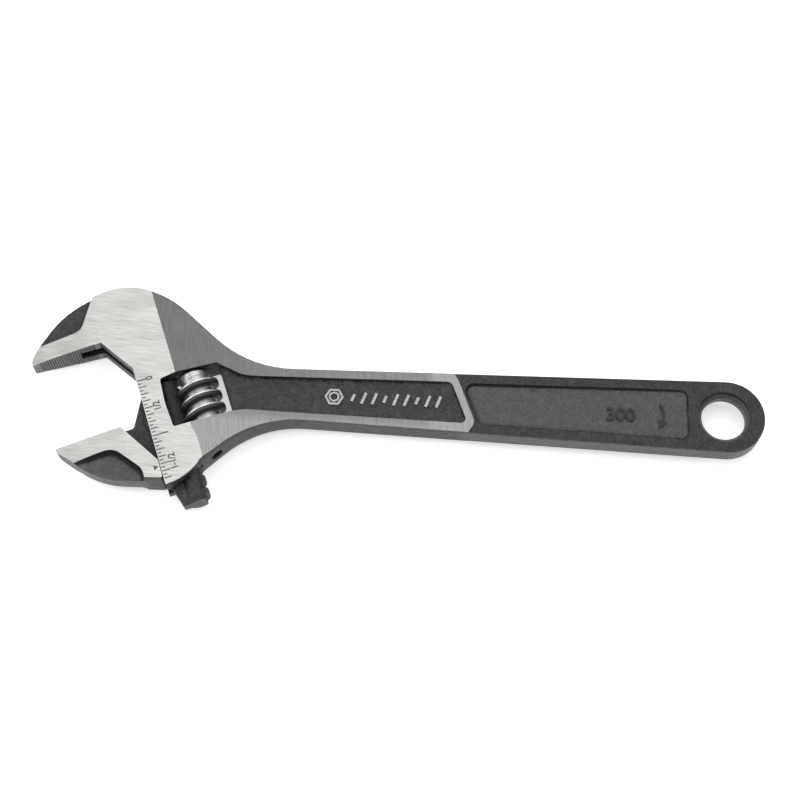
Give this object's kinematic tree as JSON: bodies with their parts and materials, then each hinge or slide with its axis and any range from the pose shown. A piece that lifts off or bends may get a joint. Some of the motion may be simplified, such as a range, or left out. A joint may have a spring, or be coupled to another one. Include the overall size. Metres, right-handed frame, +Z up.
{
  "type": "adjustable wrench",
  "caption": "Steel adjustable wrench with an angled head, a sliding serrated jaw driven by a thumb knurl, a recessed handle and a hanging hole.",
  "frame": {"origin": "centre of the bounding box, on the plane the wrench lies on (the knurl's lowest point)", "axes": "+X runs along the handle towards the hanging hole, +Y is the side of the fixed jaw, +Z is up, square to the flat of the wrench"},
  "size_m": [0.3036, 0.0948, 0.0184],
  "materials": {
    "forged_body": "ground bright head, satin neck and frame, black oxide recesses and grip",
    "forged_jaw": "ground bright ribs, black oxide recesses, slide and rack",
    "knurl_steel": "black oxide with worn bright crests",
    "pin_steel": "turned and polished",
    "spring_steel": "bare spring wire"
  },
  "bodies": {
    "wrench_body": {"wrench_body": "forged_body", "knurl_pin": "pin_steel", "knurl_spring": "spring_steel"},
    "movable_jaw": {"movable_jaw": "forged_jaw"},
    "knurl_screw": {"knurl_screw": "knurl_steel"}
  },
  "joints": [
    {"name": "jaw_slide", "type": "slide", "parent": "wrench_body", "child": "movable_jaw", "axis": [0.3584, -0.9336, 0], "range_m": [-0.039, 0.0022]},
    {"name": "knurl_spin", "type": "hinge", "parent": "wrench_body", "child": "knurl_screw", "pos_m": [-0.08083, 0.00018, 0.0092], "axis": [-0.3584, 0.9336, 0], "range_deg": [-2445, 140]}
  ],
  "couplings": [
    {"joint": "knurl_spin", "follows": "jaw_slide", "rad_per_m": 1092.7}
  ]
}
